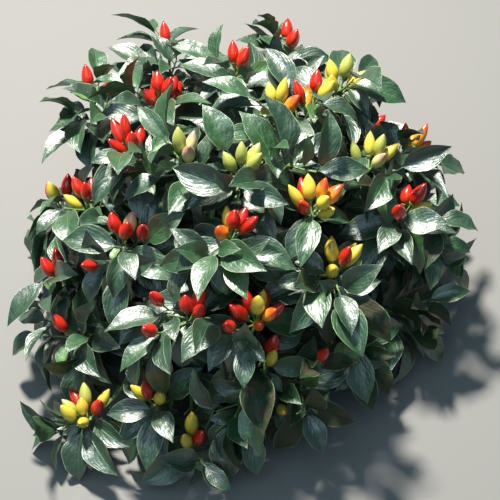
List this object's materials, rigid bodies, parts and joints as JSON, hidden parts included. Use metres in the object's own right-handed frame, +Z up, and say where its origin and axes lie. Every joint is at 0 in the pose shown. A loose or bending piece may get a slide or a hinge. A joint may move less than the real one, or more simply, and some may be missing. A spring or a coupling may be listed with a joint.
{
  "type": "chilli pepper plant",
  "caption": "Bushy ornamental chilli pepper plant with a short woody stem, a low rounded crown of dark glossy leaves and upright bunches of small pointed fruit.",
  "frame": {"origin": "middle of the flat cut under the main stem, at ground level", "axes": "+Z up; -Y towards the side that the picture was taken from; +X to the right in it"},
  "size_m": [0.4721, 0.489, 0.2802],
  "materials": {
    "stem_bark": "rough, finely ridged grey-brown bark",
    "green_branch": "smooth, slightly ribbed green stem",
    "foliage": "semi-gloss, dark bluish green leaf",
    "young_leaf": "satin, bright yellow-green young leaf",
    "dusty_leaf": "matt, dusty olive-brown leaf",
    "leaf_vein": "satin, pale green midrib and petiole",
    "fruit_red": "smooth, waxy high gloss",
    "fruit_orange": "smooth, waxy high gloss",
    "fruit_yellow": "smooth, waxy high gloss",
    "fruit_green": "smooth, waxy high gloss",
    "fruit_blush": "smooth, waxy high gloss, purple-flushed"
  },
  "bodies": {
    "root": {"bough_back": "stem_bark", "bough_back_right": "stem_bark", "bough_centre": "stem_bark", "bough_front": "stem_bark", "bough_front_left": "stem_bark", "bough_left": "stem_bark", "bough_right": "stem_bark", "branch_back_flank": "green_branch", "branch_back_left_shoulder": "green_branch", "branch_back_left_skirt": "green_branch", "branch_back_right_shoulder": "green_branch", "branch_back_right_skirt": "green_branch", "branch_back_skirt": "green_branch", "branch_front_flank": "green_branch", "branch_front_left_flank": "green_branch", "branch_front_left_skirt": "green_branch", "branch_front_skirt": "green_branch", "branch_left_flank": "green_branch", "branch_left_front_skirt": "green_branch", "branch_left_skirt": "green_branch", "branch_right_back_flank": "green_branch", "branch_right_flank": "green_branch", "branch_right_front_flank": "green_branch", "branch_right_front_skirt": "green_branch", "branch_right_shoulder": "green_branch", "foliage_back_crown": "foliage", "foliage_back_flank": "foliage", "foliage_back_left_shoulder": "foliage", "foliage_back_left_skirt": "foliage", "foliage_back_right_shoulder": "foliage", "foliage_back_right_skirt": "foliage", "foliage_back_shoulder": "foliage", "foliage_back_skirt": "foliage", "foliage_crown": "foliage", "foliage_front_crown": "foliage", "foliage_front_flank": "foliage", "foliage_front_left_flank": "foliage", "foliage_front_left_skirt": "foliage", "foliage_front_skirt": "foliage", "foliage_left_flank": "foliage", "foliage_left_front_shoulder": "foliage", "foliage_left_front_skirt": "foliage", "foliage_left_shoulder": "foliage", "foliage_left_skirt": "foliage", "foliage_right_back_flank": "foliage", "foliage_right_crown": "foliage", "foliage_right_flank": "foliage", "foliage_right_front_flank": "foliage", "foliage_right_front_skirt": "foliage", "foliage_right_shoulder": "foliage", "main_stem": "stem_bark"}
  },
  "joints": []
}
